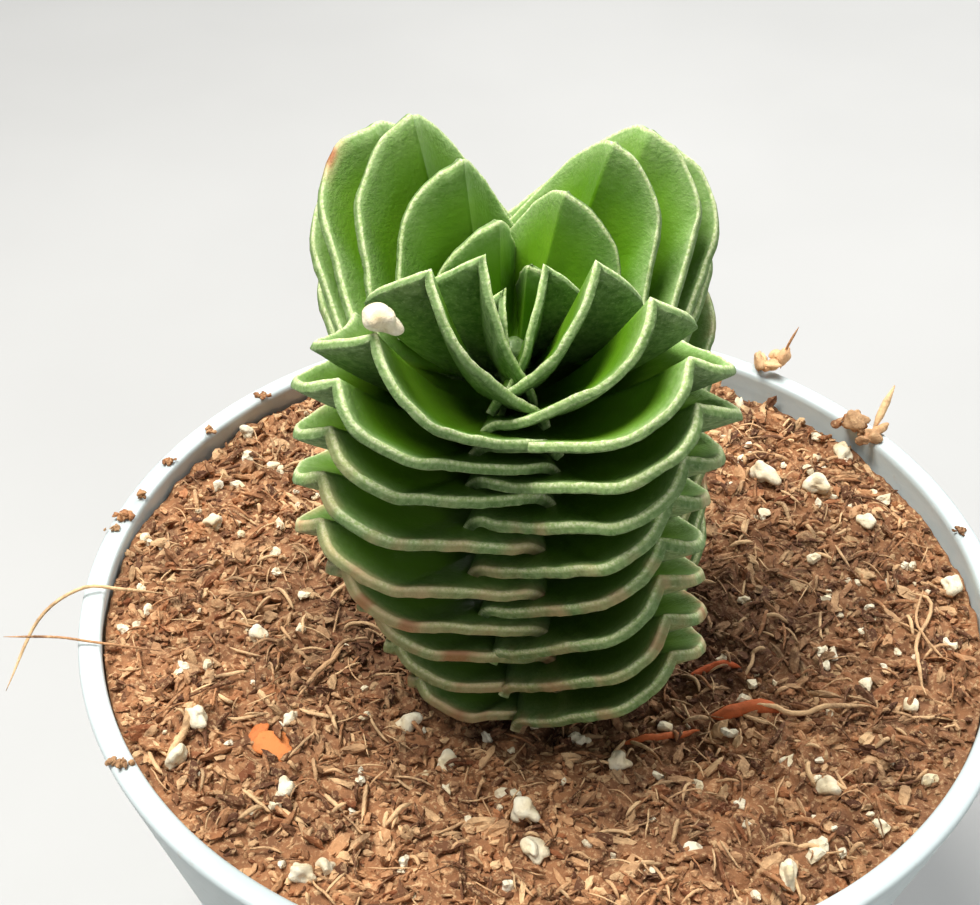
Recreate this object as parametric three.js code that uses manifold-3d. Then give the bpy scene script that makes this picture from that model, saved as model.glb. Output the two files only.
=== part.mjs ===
// Column-shaped succulent (a crassula of the pagoda type) in a round plastic pot.
// Millimetres, +Z up, origin at the middle of the pot's underside.
// The near side of the photo is -Y.
import * as THREE from 'three';
import Module from 'manifold-3d';

const wasm = await Module();
wasm.setup();
const { Manifold, Mesh: SolidMesh } = wasm;

// pot
const POT_HEIGHT = 72;
const RIM_RADIUS = 50;
const RIM_WIDTH = 2.6;
const RIM_DEPTH = 3.0;
const FOOT_RADIUS = 31.5;
const WALL = 1.5;
const FLOOR = 1.8;
const POT_SEGMENTS = 60;
const DRAIN_RADIUS = 3.2;
const DRAIN_CIRCLE = 19;
const DRAIN_COUNT = 6;

// soil
const GAP = 0.3;
const SOIL_RINGS = 11;
const SOIL_SECTORS = 48;
const HOLE_RADIUS = 5.0;
const HOLE_DEPTH = 16;
const GRAIN_COUNT = 34;
const GRAIN_SEED = 17;

// plant, heights measured from the plane of the rim
const PLANT_X = 0.6;
const PLANT_Y = -7.7;
const COLUMN_HEIGHT = 46;
const LEAN_X = -0.19;
const LEAN_Y = -0.04;
const NOD_X = 5.2;
const NOD_Y = -2.6;
const NOD_POWER = 2.6;
const STEM_RADIUS = 4.4;
const STEM_BOTTOM = -15.2;
const PAIRS = 23;
const RANK_SKEW = 5.7;
const SKEW_PAIRS = 12;
const ROW_AT = [0, 0.6, 1];
const ROWS = ROW_AT.length - 1;

// each list runs over the leaf pairs, 0 is the youngest: [pair, value]
// REACH is the tip's distance from the axis, HALF the half width between the leaf's two shoulders,
// WAIST the height of the margin at the shoulders, DROP how much higher the tip stands
const REACH = [[0, 1.4], [1, 2.8], [2, 5.2], [3, 8.2], [4, 11.5], [5, 14.2], [6, 17.4], [7, 19], [8, 20.2],
  [10, 21], [22, 20]];
const HALF = [[0, 4], [1, 5.8], [2, 6.5], [3, 7.3], [4, 8], [5, 8.8], [6, 10], [12, 10], [22, 9.3]];
const WAIST = [[0, 38.5], [1, 41.2], [2, 43.2], [4, 43.2], [5, 42.2], [7, 40.8], [8, 38.4], [10, 34],
  [12, 27.6], [16, 14.8], [22, -1]];
const DROP = [[0, 8], [1, 9.2], [2, 9.4], [3, 11], [5, 12.6], [6, 11.2], [8, 10.5], [12, 9.5], [16, 10.6],
  [22, 9.5]];
const HUMP = [[0, 1.5], [3, 1.3], [8, 0.6], [22, -0.3]];
const CUP = [[1, 3], [2, 5.2], [3, 6.6], [6, 7.4], [8, 6], [10, 4.8], [12, 3.2], [16, 2.5], [22, 1.2]];
const TURN = [[1, 4], [9, 3], [13, -3], [22, -2.5]];
const THICK = [[0, 0.8], [4, 0.95], [8, 1.1], [12, 1.35], [22, 1.3]];
const ROOT = [[0, 0.9], [2, 1.3], [4, 2], [6, 2.8], [8, 3.4], [22, 3.4]];
// leaves of the near left rank shrink towards the foot: share of the full reach
const WITHER = [[14, 1], [18, 0.88], [22, 0.76]];
// half margin from the tip past the shoulder: [share of the reach, share of the half width,
// share of the drop, share of the hump]
const EDGE = [[1, 0, 0, 0], [1.05, 0.29, 0.17, 1], [0.88, 0.59, 0.42, 1.4], [0.6, 0.74, 0.62, 1.2],
  [0, 1, 1, 0], [-0.3, 1.2, 1.03, -0.4]];
const ACROSS = EDGE.length - 1;
const SHOULDER = 0.97;

const rad = (deg) => deg * Math.PI / 180;
const mix = (a, b, t) => a + (b - a) * t;

// repeatable value from 0 to 1 for a whole number
function draw(n) {
  const s = Math.sin(n * 12.9898 + 4.1414) * 43758.5453;
  return s - Math.floor(s);
}

// value at x on a list of [station, value]
function along(list, x) {
  if (x <= list[0][0]) return list[0][1];
  for (let i = 1; i < list.length; i++) {
    const [x0, y0] = list[i - 1];
    const [x1, y1] = list[i];
    if (x <= x1) return mix(y0, y1, (x - x0) / (x1 - x0));
  }
  return list[list.length - 1][1];
}

// closed solid from points and triangles
function solid(points, triangles) {
  const mesh = new SolidMesh({
    numProp: 3,
    vertProperties: new Float32Array(points.flat()),
    triVerts: new Uint32Array(triangles.flat()),
  });
  mesh.merge();
  return new Manifold(mesh);
}

// the biggest outward shell of a solid, without loose scraps and inner hollows
function mainShell(body) {
  const mesh = body.getMesh();
  const count = mesh.vertProperties.length / mesh.numProp;
  const parent = Array.from({ length: count }, (_, i) => i);
  const find = (i) => {
    while (parent[i] !== i) {
      parent[i] = parent[parent[i]];
      i = parent[i];
    }
    return i;
  };
  const point = (i) => {
    const o = i * mesh.numProp;
    return [mesh.vertProperties[o], mesh.vertProperties[o + 1], mesh.vertProperties[o + 2]];
  };
  const same = new Map();
  for (let i = 0; i < count; i++) {
    const key = point(i).map((v) => Math.round(v * 1e4)).join();
    if (same.has(key)) parent[find(i)] = find(same.get(key));
    else same.set(key, i);
  }
  const tris = [];
  for (let t = 0; t < mesh.triVerts.length; t += 3) {
    const tri = [mesh.triVerts[t], mesh.triVerts[t + 1], mesh.triVerts[t + 2]];
    parent[find(tri[0])] = find(tri[1]);
    parent[find(tri[1])] = find(tri[2]);
    tris.push(tri);
  }
  const volume = new Map();
  for (const tri of tris) {
    const [a, b, c] = tri.map(point);
    const six = a[0] * (b[1] * c[2] - b[2] * c[1]) - a[1] * (b[0] * c[2] - b[2] * c[0])
      + a[2] * (b[0] * c[1] - b[1] * c[0]);
    const root = find(tri[0]);
    volume.set(root, (volume.get(root) || 0) + six / 6);
  }
  const best = [...volume.entries()].sort((p, q) => q[1] - p[1])[0][0];
  const kept = tris.filter((tri) => find(tri[0]) === best);
  return solid(kept.flat().map(point), kept.map((_, i) => [3 * i, 3 * i + 1, 3 * i + 2]));
}

// three.js mesh of a solid
function node(name, body, color, roughness) {
  const mesh = body.getMesh();
  const geometry = new THREE.BufferGeometry();
  const positions = new Float32Array(mesh.vertProperties.length / mesh.numProp * 3);
  for (let i = 0; i < positions.length / 3; i++) {
    for (let j = 0; j < 3; j++) positions[3 * i + j] = mesh.vertProperties[i * mesh.numProp + j];
  }
  geometry.setAttribute('position', new THREE.BufferAttribute(positions, 3));
  geometry.setIndex(new THREE.BufferAttribute(new Uint32Array(mesh.triVerts), 1));
  const material = new THREE.MeshStandardMaterial({ color, roughness, metalness: 0 });
  const out = new THREE.Mesh(geometry, material);
  out.name = name;
  return out;
}

// body of revolution about Z from a closed profile of [radius, height], counter-clockwise
function revolve(profile, segments) {
  const points = [];
  const triangles = [];
  const n = profile.length;
  for (let s = 0; s < segments; s++) {
    const a = 2 * Math.PI * s / segments;
    for (const [r, z] of profile) points.push([r * Math.cos(a), r * Math.sin(a), z]);
  }
  for (let s = 0; s < segments; s++) {
    const t = (s + 1) % segments;
    for (let i = 0; i < n; i++) {
      const j = (i + 1) % n;
      triangles.push([s * n + i, t * n + i, t * n + j]);
      triangles.push([s * n + i, t * n + j, s * n + j]);
    }
  }
  return solid(points, triangles);
}

const outerRadius = (z) => mix(FOOT_RADIUS, RIM_RADIUS, z / POT_HEIGHT);
const innerRadius = (z) => outerRadius(z) - WALL;

// tapered pot with a flat thick rim and a floor pierced by drain holes
function makePot() {
  const top = POT_HEIGHT;
  const ring = revolve([
    [2, 0],
    [FOOT_RADIUS - 0.8, 0],
    [FOOT_RADIUS + 0.2, 0.9],
    [outerRadius(top / 2), top / 2],
    [outerRadius(top - 1), top - 1],
    [RIM_RADIUS - 0.4, top],
    [RIM_RADIUS - RIM_WIDTH, top],
    [innerRadius(top - RIM_DEPTH), top - RIM_DEPTH],
    [innerRadius(top / 2), top / 2],
    [innerRadius(FLOOR + 1), FLOOR + 1],
    [innerRadius(FLOOR) - 1, FLOOR],
    [2, FLOOR],
  ], POT_SEGMENTS);
  let body = ring.add(Manifold.cylinder(FLOOR, 2.6, 2.6, 24));
  for (let i = 0; i < DRAIN_COUNT; i++) {
    const a = 2 * Math.PI * (i + 0.5) / DRAIN_COUNT;
    const drill = Manifold.cylinder(FLOOR + 2, DRAIN_RADIUS, DRAIN_RADIUS, 20)
      .translate([DRAIN_CIRCLE * Math.cos(a), DRAIN_CIRCLE * Math.sin(a), -1]);
    body = body.subtract(drill);
  }
  return body;
}

// height of the soil above the plane of the rim (negative is below)
function soilLevel(x, y) {
  const r = Math.hypot(x - PLANT_X, y - PLANT_Y);
  const slope = -2.3 - 0.020 * (0.55 * x + 0.83 * y);
  const hollow = -2.6 * Math.exp(-((r / 19) ** 4));
  const rough = 0.30 * Math.sin(0.42 * x + 1.3) * Math.sin(0.38 * y + 0.4)
    + 0.22 * Math.sin(0.81 * x - 0.55 * y) + 0.16 * Math.sin(1.23 * y + 0.9 * x + 2);
  const edge = Math.hypot(x, y) / 47;
  return Math.min(slope + hollow + rough - 0.5 * edge ** 6, -0.9);
}

// soil filling the pot, rough on top, with a plain hole for the stem and grains bedded in it
function makeSoil() {
  const points = [];
  const triangles = [];
  const top = POT_HEIGHT;
  const bottom = FLOOR + GAP;
  const rimGap = RIM_WIDTH - WALL;
  const edgeRadius = (z) => Math.min(innerRadius(z) - GAP, RIM_RADIUS - RIM_WIDTH - GAP);
  const outer = edgeRadius(top - RIM_DEPTH - rimGap);
  points.push([0, 0, top + soilLevel(0, 0)]);
  for (let k = 1; k <= SOIL_RINGS; k++) {
    for (let s = 0; s < SOIL_SECTORS; s++) {
      const a = 2 * Math.PI * (s + 0.5 * (k % 2)) / SOIL_SECTORS;
      const r = outer * Math.sqrt(k / SOIL_RINGS);
      const x = r * Math.cos(a);
      const y = r * Math.sin(a);
      points.push([x, y, top + soilLevel(x, y)]);
    }
  }
  const at = (k, s) => 1 + (k - 1) * SOIL_SECTORS + ((s % SOIL_SECTORS) + SOIL_SECTORS) % SOIL_SECTORS;
  for (let s = 0; s < SOIL_SECTORS; s++) {
    triangles.push([0, at(1, s), at(1, s + 1)]);
  }
  for (let k = 1; k < SOIL_RINGS; k++) {
    for (let s = 0; s < SOIL_SECTORS; s++) {
      const odd = k % 2;
      if (odd) {
        triangles.push([at(k, s), at(k + 1, s + 1), at(k, s + 1)]);
        triangles.push([at(k, s), at(k + 1, s), at(k + 1, s + 1)]);
      } else {
        triangles.push([at(k, s), at(k + 1, s), at(k, s + 1)]);
        triangles.push([at(k, s + 1), at(k + 1, s), at(k + 1, s + 1)]);
      }
    }
  }
  const base = points.length;
  for (let s = 0; s < SOIL_SECTORS; s++) {
    const a = 2 * Math.PI * (s + 0.5 * (SOIL_RINGS % 2)) / SOIL_SECTORS;
    const r = innerRadius(bottom) - GAP - 1.4;
    points.push([r * Math.cos(a), r * Math.sin(a), bottom]);
  }
  points.push([0, 0, bottom]);
  for (let s = 0; s < SOIL_SECTORS; s++) {
    const n = (s + 1) % SOIL_SECTORS;
    triangles.push([at(SOIL_RINGS, s), base + s, base + n]);
    triangles.push([at(SOIL_RINGS, s), base + n, at(SOIL_RINGS, s + 1)]);
    triangles.push([base + s, base + SOIL_SECTORS, base + n]);
  }
  let body = solid(points, triangles);
  const grains = [];
  for (let i = 0; i < GRAIN_COUNT; i++) {
    const a = 2 * Math.PI * draw(GRAIN_SEED + 3 * i);
    const r = 27 + 17 * Math.sqrt(draw(GRAIN_SEED + 3 * i + 1));
    const size = 0.9 + 1.0 * draw(GRAIN_SEED + 3 * i + 2);
    const x = r * Math.cos(a);
    const y = r * Math.sin(a);
    const grain = Manifold.sphere(size, 4).rotate([37 * i, 71 * i, 0])
      .translate([x, y, top + soilLevel(x, y) + 0.1 * size]);
    grains.push(grain);
  }
  body = Manifold.union([body, ...grains]);
  const hole = Manifold.cylinder(HOLE_DEPTH + 6, HOLE_RADIUS, HOLE_RADIUS, 24)
    .translate([PLANT_X, PLANT_Y, top - HOLE_DEPTH]);
  return mainShell(body.subtract(hole));
}

// middle of the stem at height s above the rim: a leaning line that bends over near the crown
const rise = (s) => Math.max(s, 0) / COLUMN_HEIGHT;
const stemX = (s) => PLANT_X + LEAN_X * s + NOD_X * rise(s) ** NOD_POWER;
const stemY = (s) => PLANT_Y + LEAN_Y * s + NOD_Y * rise(s) ** NOD_POWER;

// direction of the stem at height s
function stemUp(s) {
  const bend = NOD_POWER / COLUMN_HEIGHT * rise(s) ** (NOD_POWER - 1);
  return new THREE.Vector3(LEAN_X + NOD_X * bend, LEAN_Y + NOD_Y * bend, 1).normalize();
}

// axes of a leaf pair: origin on the stem and three unit vectors
function pairFrame(s, lift) {
  const up = stemUp(s);
  const ex = new THREE.Vector3(1, 0, 0).addScaledVector(up, -up.x).normalize();
  const ey = new THREE.Vector3().crossVectors(up, ex);
  return { origin: new THREE.Vector3(stemX(s), stemY(s), s + lift), ex, ey, up };
}

// azimuth of a leaf in degrees: quarter turns from pair to pair, a little skewed near the crown
function leafAzimuth(k, back) {
  const odd = k % 2 === 1;
  const skew = RANK_SKEW * Math.max(0, 1 - k / SKEW_PAIRS);
  const jitter = 2 * (draw(2 * k + back + 200) - 0.5);
  return (odd ? 315 - skew : 225 + skew) + 180 * back + along(TURN, k) + jitter;
}

// one leaf as a thin dished shell: margin, blade rising from the stem, blunt edge
function makeLeaf(k, back) {
  const id = 2 * k + back;
  const near = k % 2 === 0 && back === 0;
  const size = (1 + 0.04 * (draw(id) - 0.5)) * (near ? along(WITHER, k) : 1);
  const reach = along(REACH, k) * size;
  const half = along(HALF, k) * size;
  const drop = along(DROP, k) * (1 + 0.08 * (draw(id + 100) - 0.5)) * size;
  const hump = along(HUMP, k);
  const waist = along(WAIST, k);
  const thick = along(THICK, k);
  const root = along(ROOT, k);
  const foot = waist - along(CUP, k);
  const rank = leafAzimuth(k, back);
  const frame = pairFrame(waist, POT_HEIGHT);
  const out = new THREE.Vector3().addScaledVector(frame.ex, Math.cos(rad(rank)))
    .addScaledVector(frame.ey, Math.sin(rad(rank)));
  const side = new THREE.Vector3().crossVectors(frame.up, out);
  const rows = [];
  for (let i = -ACROSS; i <= ACROSS; i++) {
    const hand = Math.sign(i);
    const [shareReach, shareHalf, shareDrop, shareHump] = EDGE[Math.abs(i)];
    const x = mix(SHOULDER * half, reach, shareReach) + hump * shareHump;
    const y = half * shareHalf * hand;
    const h = drop * (1 - shareDrop);
    const turn = Math.atan2(y, x) * 1.15;
    const row = [];
    for (let j = 0; j <= ROWS; j++) {
      const t = ROW_AT[j];
      const px = mix(root * Math.cos(turn), x, t);
      const py = mix(root * Math.sin(turn), y, t);
      const ph = mix(foot - waist, h, t ** 1.4);
      row.push(frame.origin.clone().addScaledVector(out, px).addScaledVector(side, py)
        .addScaledVector(frame.up, ph));
    }
    rows.push(row);
  }
  const wide = rows.length;
  const deep = ROWS + 1;
  const points = [];
  for (const row of rows) for (const p of row) points.push(p.toArray());
  for (let i = 0; i < wide; i++) {
    for (let j = 0; j < deep; j++) {
      const du = rows[Math.min(i + 1, wide - 1)][j].clone().sub(rows[Math.max(i - 1, 0)][j]);
      const dv = rows[i][Math.min(j + 1, ROWS)].clone().sub(rows[i][Math.max(j - 1, 0)]);
      const normal = new THREE.Vector3().crossVectors(dv, du).normalize();
      points.push(rows[i][j].clone().addScaledVector(normal, -thick).toArray());
    }
  }
  const up = (i, j) => i * deep + j;
  const down = (i, j) => wide * deep + i * deep + j;
  const triangles = [];
  for (let i = 0; i < wide - 1; i++) {
    for (let j = 0; j < ROWS; j++) {
      triangles.push([up(i, j), up(i, j + 1), up(i + 1, j + 1)], [up(i, j), up(i + 1, j + 1), up(i + 1, j)]);
      triangles.push([down(i, j), down(i + 1, j + 1), down(i, j + 1)],
        [down(i, j), down(i + 1, j), down(i + 1, j + 1)]);
    }
    triangles.push([up(i, ROWS), down(i, ROWS), down(i + 1, ROWS)],
      [up(i, ROWS), down(i + 1, ROWS), up(i + 1, ROWS)]);
    triangles.push([up(i, 0), down(i + 1, 0), down(i, 0)], [up(i, 0), up(i + 1, 0), down(i + 1, 0)]);
  }
  for (let j = 0; j < ROWS; j++) {
    triangles.push([up(0, j), down(0, j), down(0, j + 1)], [up(0, j), down(0, j + 1), up(0, j + 1)]);
    const e = wide - 1;
    triangles.push([up(e, j), down(e, j + 1), down(e, j)], [up(e, j), up(e, j + 1), down(e, j + 1)]);
  }
  return solid(points, triangles);
}

// stem core: round, from its end in the soil to the growing point
function makeStem() {
  const heights = [STEM_BOTTOM, 0, 24, 32, 36, 39.5];
  const radii = [STEM_RADIUS, STEM_RADIUS, STEM_RADIUS, 3.6, 2.4, 0.9];
  const sides = 8;
  const points = [];
  heights.forEach((h, i) => {
    for (let s = 0; s < sides; s++) {
      const a = 2 * Math.PI * s / sides;
      points.push([stemX(h < 0 ? 0 : h) + radii[i] * Math.cos(a), stemY(h < 0 ? 0 : h) + radii[i] * Math.sin(a),
        POT_HEIGHT + h]);
    }
  });
  const triangles = [];
  const n = heights.length;
  for (let i = 0; i < n - 1; i++) {
    for (let s = 0; s < sides; s++) {
      const t = (s + 1) % sides;
      triangles.push([i * sides + s, i * sides + t, (i + 1) * sides + t]);
      triangles.push([i * sides + s, (i + 1) * sides + t, (i + 1) * sides + s]);
    }
  }
  for (let s = 1; s < sides - 1; s++) {
    triangles.push([0, s + 1, s]);
    triangles.push([(n - 1) * sides, (n - 1) * sides + s, (n - 1) * sides + s + 1]);
  }
  return solid(points, triangles);
}

// stem with all its leaf pairs, grown as one piece
function makePlant() {
  const pieces = [makeStem()];
  for (let k = 0; k < PAIRS; k++) {
    for (const back of [0, 1]) pieces.push(makeLeaf(k, back));
  }
  return mainShell(Manifold.union(pieces));
}

const plant = new THREE.Group();
plant.add(node('pot', makePot(), 0xd9dde0, 0.45));
plant.add(node('soil', makeSoil(), 0x7a5236, 0.95));
plant.add(node('leafy_stem', makePlant(), 0x6f9440, 0.55));

export default plant;
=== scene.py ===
"""Looks of the potted column succulent: fine leaves, pot, coir soil, grains and fibres.

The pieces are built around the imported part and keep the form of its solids.

Lengths in the formulas are millimetres, heights are measured from the plane of the pot's rim.
The near side of the photo is -Y.
"""
import math

import bpy
import numpy as np
from mathutils import Matrix, Vector, geometry


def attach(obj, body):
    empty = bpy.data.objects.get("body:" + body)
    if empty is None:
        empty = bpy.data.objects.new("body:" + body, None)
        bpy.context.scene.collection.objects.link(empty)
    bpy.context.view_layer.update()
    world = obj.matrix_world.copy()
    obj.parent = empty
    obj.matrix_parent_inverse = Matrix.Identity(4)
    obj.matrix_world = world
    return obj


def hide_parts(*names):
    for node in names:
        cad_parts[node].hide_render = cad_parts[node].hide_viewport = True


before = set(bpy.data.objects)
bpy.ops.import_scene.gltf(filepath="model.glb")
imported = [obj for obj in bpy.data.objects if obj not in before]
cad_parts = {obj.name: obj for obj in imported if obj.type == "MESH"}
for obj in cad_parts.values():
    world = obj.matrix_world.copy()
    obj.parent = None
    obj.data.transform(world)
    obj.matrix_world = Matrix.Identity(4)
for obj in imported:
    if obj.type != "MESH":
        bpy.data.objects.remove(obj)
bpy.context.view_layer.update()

# pot
POT_HEIGHT = 72.0
RIM_RADIUS = 50.0
RIM_DEPTH = 3.0
FOOT_RADIUS = 31.5
WALL = 1.5
FLOOR = 1.8
DRAIN_RADIUS = 3.2
DRAIN_CIRCLE = 19.0
DRAIN_COUNT = 6
POT_SEGMENTS = 256

# plant
PLANT_X = 0.6
PLANT_Y = -7.7
COLUMN_HEIGHT = 46.0
LEAN_X = -0.19
LEAN_Y = -0.04
NOD_X = 5.2
NOD_Y = -2.6
NOD_POWER = 2.6
PAIRS = 23
RANK_SKEW = 5.7
SKEW_PAIRS = 12.0
SHOULDER = 0.97
STEM_SIDES = 48
# single leaves by (pair, back): the one with a rusty stretch, and the one that holds a white grain
RUSTY_LEAF = (7, 1)
GRAIN_LEAF = (6, 0)
FIRST_WITHERED_PAIR = 14
# how far the ends of a margin sink and draw in, and how far the bloom reaches from it on both faces
END_SINK = 3.0
END_DRAW_IN = 0.06
BLOOM_ABOVE = 1.9
BLOOM_BELOW = 5.0
BLOOM_HEIGHT = 0.05

# points on one leaf: across its margin, down its upper face, over its blunt edge, up its underside
ACROSS = 104
ROWS_TOP = 16
ROWS_EDGE = 6
ROWS_UNDER = 9

# lists over the leaf pairs, 0 is the youngest: (pair, value)
# REACH is the tip's distance from the axis, HALF the half width between the leaf's two shoulders,
# WAIST the height of the margin at the shoulders, DROP how much higher the tip stands
REACH = [(0, 1.4), (1, 2.8), (2, 5.2), (3, 8.2), (4, 11.5), (5, 14.2), (6, 17.4), (7, 19), (8, 20.2),
         (10, 21), (22, 20)]
HALF = [(0, 4), (1, 5.8), (2, 6.5), (3, 7.3), (4, 8), (5, 8.8), (6, 10), (12, 10), (22, 9.3)]
WAIST = [(0, 38.5), (1, 41.2), (2, 43.2), (4, 43.2), (5, 42.2), (7, 40.8), (8, 38.4), (10, 34),
         (12, 27.6), (16, 14.8), (22, -1)]
DROP = [(0, 8), (1, 9.2), (2, 9.4), (3, 11), (5, 12.6), (6, 11.2), (8, 10.5), (12, 9.5), (16, 10.6),
        (22, 9.5)]
HUMP = [(0, 1.5), (3, 1.3), (8, 0.6), (22, -0.3)]
CUP = [(1, 3), (2, 5.2), (3, 6.6), (6, 7.4), (8, 6), (10, 4.8), (12, 3.2), (16, 2.5), (22, 1.2)]
TURN = [(1, 4), (9, 3), (13, -3), (22, -2.5)]
THICK = [(0, 0.8), (4, 0.95), (8, 1.1), (12, 1.35), (22, 1.3)]
ROOT = [(0, 0.9), (2, 1.3), (4, 2), (6, 2.8), (8, 3.4), (22, 3.4)]
# leaves of the near left rank shrink towards the foot: share of the full reach
WITHER = [(14, 1), (18, 0.88), (22, 0.76)]
# how far the margin is weathered to tan and rust
WEATHER = [(5, 0), (8, 0.35), (12, 0.75), (22, 1)]
# half margin from the tip past the shoulder: (share of the reach, share of the half width,
# share of the drop, share of the hump)
EDGE = [(1, 0, 0, 0), (1.05, 0.29, 0.17, 1), (0.88, 0.59, 0.42, 1.4), (0.6, 0.74, 0.62, 1.2),
        (0, 1, 1, 0), (-0.3, 1.2, 1.03, -0.4)]

# soil
SOIL_RINGS = 120
SOIL_SECTORS = 460
HOLE_RADIUS = 5.0
HOLE_DEPTH = 15.5
SOIL_REACH = 46.6
DUST_REACH = 46.8
GRAIN_REACH = 45.5
STEM_CLEARANCE = 8.5
SCATTER_SEED = 5
DUST_COUNT = 8400
CRUMB_COUNT = 2200
CHIP_COUNT = 340
SMALL_GRAIN_COUNT = 240
FIBRE_COUNT = 1450
# the larger white grains that can be told apart in the photo: (x, y, size)
GRAIN_PLACES = [
    (-34, -21, 2.8), (-35, -26, 2.2), (-25, -20, 1.6), (26, 22, 3.2), (32, 20, 3.6), (36, 27, 2.4),
    (37, 14, 1.8), (-1, -31, 2.8), (0, -35, 2.4), (-13, -19, 2.2), (-9, -24, 1.9), (8, -23, 2.1),
    (28, -26, 2.1), (45, 4, 2.4), (38, -14, 1.6), (-21, -39, 2.4), (-19, -38, 1.8), (23, -37, 2.6),
    (-30, -9, 2.1), (-38, 9, 1.9), (-37, 26, 2.0), (-24, -29, 1.9)]


def along(table, x):
    return float(np.interp(x, [a for a, _ in table], [b for _, b in table]))


def draw(n):
    """The same repeatable value from 0 to 1 for a whole number as in the solids."""
    s = math.sin(n * 12.9898 + 4.1414) * 43758.5453
    return s - math.floor(s)


def lattice(ix, iy, iz, seed):
    """Repeatable random value from 0 to 1 at whole-number points."""
    h = (ix.astype(np.int64) * 374761393 + iy.astype(np.int64) * 668265263
         + iz.astype(np.int64) * 2147483647 + seed * 974634777) & 0xFFFFFFFF
    h = ((h ^ (h >> 13)) * 1274126177) & 0xFFFFFFFF
    h = ((h ^ (h >> 16)) * 2246822519) & 0xFFFFFFFF
    return ((h ^ (h >> 15)) & 0xFFFFFF) / float(0xFFFFFF)


def noise(points, scale, seed):
    """Smooth random field from -1 to 1 with cells of the given size."""
    p = np.asarray(points, float) / scale
    i = np.floor(p).astype(np.int64)
    f = p - i
    f = f * f * (3 - 2 * f)
    out = np.zeros(len(p))
    for dx in (0, 1):
        for dy in (0, 1):
            for dz in (0, 1):
                w = ((f[:, 0] if dx else 1 - f[:, 0]) * (f[:, 1] if dy else 1 - f[:, 1])
                     * (f[:, 2] if dz else 1 - f[:, 2]))
                out += w * lattice(i[:, 0] + dx, i[:, 1] + dy, i[:, 2] + dz, seed)
    return 2 * out - 1


def make_object(name, verts, faces, info=None, smooth=True):
    """Mesh object from millimetre points in the rim's frame and a list of face arrays."""
    verts = np.asarray(verts, np.float64) * 0.001
    verts[:, 2] += POT_HEIGHT * 0.001
    mesh = bpy.data.meshes.new(name)
    loops = np.concatenate([f.ravel() for f in faces]).astype(np.int32)
    sizes = np.concatenate([np.full(len(f), f.shape[1], np.int32) for f in faces])
    starts = np.concatenate([[0], np.cumsum(sizes)[:-1]]).astype(np.int32)
    mesh.vertices.add(len(verts))
    mesh.vertices.foreach_set("co", verts.ravel())
    mesh.loops.add(len(loops))
    mesh.loops.foreach_set("vertex_index", loops)
    mesh.polygons.add(len(sizes))
    mesh.polygons.foreach_set("loop_start", starts)
    mesh.polygons.foreach_set("loop_total", sizes)
    mesh.polygons.foreach_set("use_smooth", np.full(len(sizes), smooth))
    if info is not None:
        layer = mesh.color_attributes.new("info", "FLOAT_COLOR", "POINT")
        layer.data.foreach_set("color", np.asarray(info, np.float32).ravel())
    mesh.update(calc_edges=True)
    mesh.validate()
    obj = bpy.data.objects.new(name, mesh)
    bpy.context.scene.collection.objects.link(obj)
    return obj


def grid_faces(rows, cols, closed=False):
    """Quads of a rows x cols sheet of points, optionally closed along the columns."""
    i = np.arange(rows - 1)[:, None]
    j = np.arange(cols if closed else cols - 1)[None, :]
    k = (j + 1) % cols
    quads = np.stack([i * cols + j, i * cols + k, (i + 1) * cols + k, (i + 1) * cols + j], -1)
    return quads.reshape(-1, 4)


def unit_rows(v):
    return v / (np.linalg.norm(v, axis=-1, keepdims=True) + 1e-12)


def blend_columns(v, reach=3):
    """Directions averaged with their neighbours along the second last axis."""
    pad = [(0, 0)] * (v.ndim - 2) + [(reach, reach), (0, 0)]
    wide = np.pad(v, pad, mode="edge")
    return unit_rows(sum(wide[..., j:j + v.shape[-2], :] for j in range(2 * reach + 1)))


# Plant: a leaning stem with opposite pairs of dished leaves, each pair a quarter turn from the last.

def rise(s):
    return max(s, 0.0) / COLUMN_HEIGHT


def stem_middle(s):
    """Middle of the stem at height s: a leaning line that bends over near the crown."""
    bend = rise(s) ** NOD_POWER
    return np.array([PLANT_X + LEAN_X * s + NOD_X * bend, PLANT_Y + LEAN_Y * s + NOD_Y * bend, s])


def pair_frame(s):
    """Origin on the stem and three unit axes of a leaf pair."""
    bend = NOD_POWER / COLUMN_HEIGHT * rise(s) ** (NOD_POWER - 1)
    up = unit_rows(np.array([LEAN_X + NOD_X * bend, LEAN_Y + NOD_Y * bend, 1.0]))
    ex = unit_rows(np.array([1.0, 0, 0]) - up * up[0])
    return stem_middle(s), ex, np.cross(up, ex), up


def leaf_azimuth(k, back):
    """Quarter turns from pair to pair, a little skewed near the crown."""
    skew = RANK_SKEW * max(0.0, 1 - k / SKEW_PAIRS)
    jitter = 2 * (draw(2 * k + back + 200) - 0.5)
    return (315 - skew if k % 2 else 225 + skew) + 180 * back + along(TURN, k) + jitter


def smooth_curve(points, n):
    """Catmull-Rom curve through the points, n samples, evenly spread along it."""
    p = np.asarray(points, float)
    ext = np.vstack([2 * p[0] - p[1], p, 2 * p[-1] - p[-2]])
    t = np.linspace(0, len(p) - 1, 40 * len(p))
    i = np.minimum(t.astype(int), len(p) - 2)
    f = (t - i)[:, None]
    a, b, c, d = ext[i], ext[i + 1], ext[i + 2], ext[i + 3]
    q = 0.5 * (2 * b + (c - a) * f + (2 * a - 5 * b + 4 * c - d) * f ** 2 + (3 * b - a - 3 * c + d) * f ** 3)
    run = np.concatenate([[0], np.cumsum(np.linalg.norm(np.diff(q, axis=0), axis=1))])
    u = np.linspace(0, run[-1], n)
    return np.stack([np.interp(u, run, q[:, k]) for k in range(3)], 1)


def in_near_left_rank(k, back):
    return k % 2 == 0 and back == 0


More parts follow.
